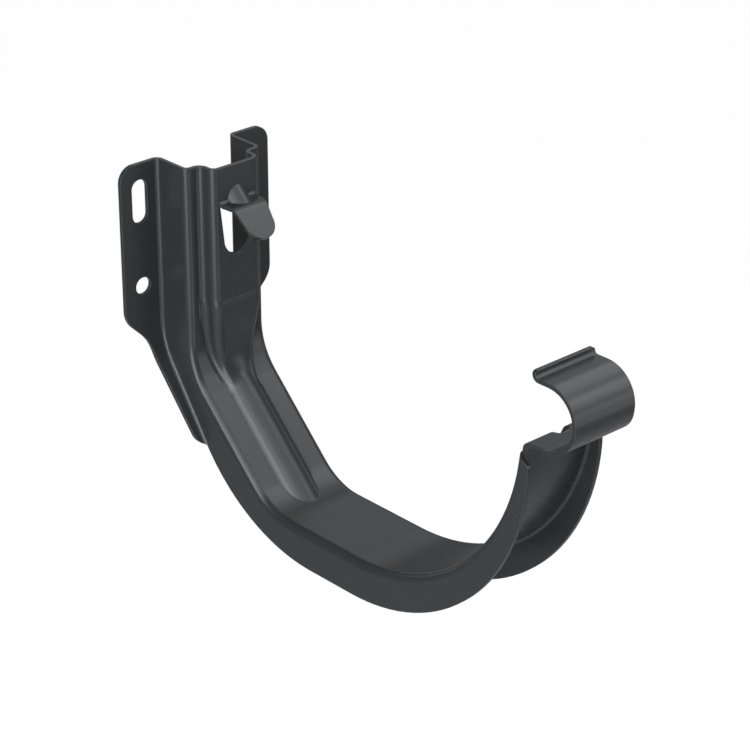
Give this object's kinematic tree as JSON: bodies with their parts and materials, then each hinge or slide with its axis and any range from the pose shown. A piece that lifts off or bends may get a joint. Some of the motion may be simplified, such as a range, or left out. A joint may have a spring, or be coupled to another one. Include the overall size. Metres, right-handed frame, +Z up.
{
  "type": "gutter bracket",
  "caption": "Pressed sheet-steel bracket that screws to a fascia and carries a half-round gutter, with a hook round its front bead and a bend-over tongue at the back.",
  "frame": {"origin": "midway between the centres of the round fixing holes, on the back of the wall flanges", "axes": "+Z up the wall, +Y into the wall, -Y out towards the gutter's front bead, X along the gutter"},
  "size_m": [0.0562, 0.1689, 0.1112],
  "materials": {
    "painted_steel": "satin anthracite coat"
  },
  "bodies": {
    "root": {"gutter_bracket": "painted_steel"}
  },
  "joints": []
}
